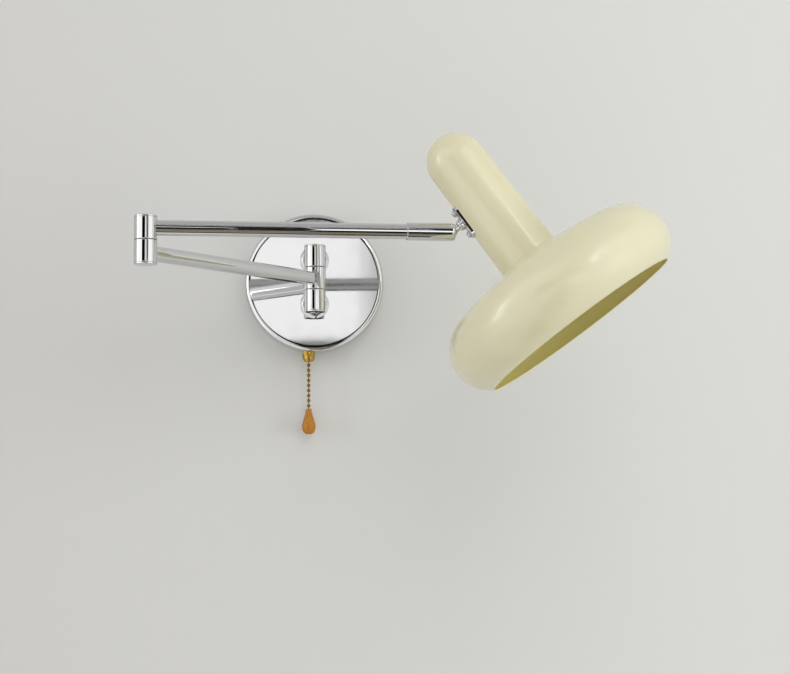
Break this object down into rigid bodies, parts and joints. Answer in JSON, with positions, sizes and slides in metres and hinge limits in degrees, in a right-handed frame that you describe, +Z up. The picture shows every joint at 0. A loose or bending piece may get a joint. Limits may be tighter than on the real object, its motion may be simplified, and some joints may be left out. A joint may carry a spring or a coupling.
{
  "type": "accordion wall lamp",
  "caption": "Wall lamp on two folding chromed arms from a round wall plate, with a ball joint, a cream ring-shaped spun shade and a bead-chain pull switch with a wooden drop.",
  "frame": {"origin": "middle of the wall plate's back, on the wall, between the two wall-screw slots", "axes": "+X to the right facing the wall, +Y into the wall, +Z up"},
  "size_m": [0.4176, 0.2926, 0.2305],
  "materials": {
    "chrome": "bright chrome plate on steel and brass",
    "zinc_steel": "zinc-plated steel",
    "brass": "plain turned brass",
    "cream_enamel": "cream enamel on spun aluminium",
    "white_plastic": "moulded",
    "holder_plastic": "moulded, heat-proof",
    "washer_plastic": "black nylon",
    "wire_plastic": "insulated wires",
    "cable_sheath": "insulated two-core lead",
    "cap_metal": "rolled sheet",
    "bulb_plastic": "moulded",
    "bulb_glass": "opal diffuser",
    "chain_metal": "rolled brass beads",
    "pendant_wood": "varnished turned wood"
  },
  "bodies": {
    "wall_plate": {"canopy": "chrome", "wall_bracket": "zinc_steel", "canopy_screws": "chrome", "terminal_block": "white_plastic", "terminal_screws": "brass", "earth_screw": "brass", "supply_wires": "wire_plastic", "upper_stem": "chrome", "lower_stem": "chrome", "stem_flanges": "chrome", "stem_nuts": "zinc_steel", "upper_hub_knuckle": "chrome", "lower_hub_knuckle": "chrome", "hub_pin": "zinc_steel", "hub_ring_nuts": "zinc_steel", "hub_washers": "washer_plastic", "hub_cap_top": "chrome", "hub_cap_bottom": "chrome", "switch_body": "white_plastic", "switch_neck": "brass", "switch_bell": "brass", "switch_spring": "zinc_steel"},
    "arm_1": {"arm_1_hub_knuckle": "chrome", "arm_1_tube": "chrome", "arm_1_elbow_knuckle": "chrome", "arm_1_cable": "cable_sheath", "elbow_pin": "zinc_steel", "elbow_ring_nuts": "zinc_steel", "elbow_washer": "washer_plastic", "elbow_cap_bottom": "chrome"},
    "arm_2": {"elbow_cap_top": "chrome", "arm_2_knuckle": "chrome", "arm_2_tube": "chrome", "arm_2_end_bush": "washer_plastic", "arm_2_cable": "cable_sheath", "sleeve_clip": "zinc_steel"},
    "head_socket": {"socket_sleeve": "chrome", "ball_seat": "washer_plastic", "seat_springs": "zinc_steel"},
    "head_ball": {"ball_stud": "chrome", "stud_nut": "zinc_steel"},
    "shade": {"shade_strap": "chrome", "strap_screws": "chrome", "neck_shell": "cream_enamel", "shade_shell": "cream_enamel", "holder_bracket": "zinc_steel", "lamp_holder": "holder_plastic", "holder_shell": "cap_metal", "holder_nut": "zinc_steel", "holder_contact": "brass", "bulb_cap": "cap_metal", "bulb_collar": "bulb_plastic", "bulb_globe": "bulb_glass", "led_board": "cap_metal", "shade_cable": "cable_sheath"},
    "pull_link": {"pull_rod": "zinc_steel"},
    "pull_chain": {"pull_chain": "chain_metal", "chain_cup": "brass", "pull_pendant": "pendant_wood"}
  },
  "joints": [
    {"name": "arm1_swing", "type": "hinge", "parent": "wall_plate", "child": "arm_1", "pos_m": [0, -0.045, 0], "axis": [0, 0, 1], "range_deg": [-48, 22]},
    {"name": "arm2_swing", "type": "hinge", "parent": "arm_1", "child": "arm_2", "pos_m": [-0.13296, -0.20234, 0.0192], "axis": [0, 0, -1], "range_deg": [-14, 195]},
    {"name": "head_roll", "type": "hinge", "parent": "arm_2", "child": "head_socket", "pos_m": [0.10441, -0.18512, 0.0192], "axis": [0.9974, 0.0724, 0], "range_deg": [-90, 90]},
    {"name": "head_tilt", "type": "hinge", "parent": "head_socket", "child": "head_ball", "pos_m": [0.10441, -0.18512, 0.0192], "axis": [0.072, -0.9925, -0.0991], "range_deg": [-70, 32]},
    {"name": "head_turn", "type": "hinge", "parent": "head_ball", "child": "shade", "pos_m": [0.10441, -0.18512, 0.0192], "axis": [0.809, 0, 0.5878], "range_deg": [-90, 90]},
    {"name": "pull_switch", "type": "slide", "parent": "wall_plate", "child": "pull_link", "axis": [0, 0, -1], "range_m": [0, 0.006], "stiffness_N_per_m": 400, "springref_m": -0.005, "deforming": ["switch_spring"]},
    {"name": "chain_swing", "type": "hinge", "parent": "pull_link", "child": "pull_chain", "pos_m": [-0.005, -0.01, -0.067], "axis": [0, 1, 0], "range_deg": [-25, 25]}
  ]
}
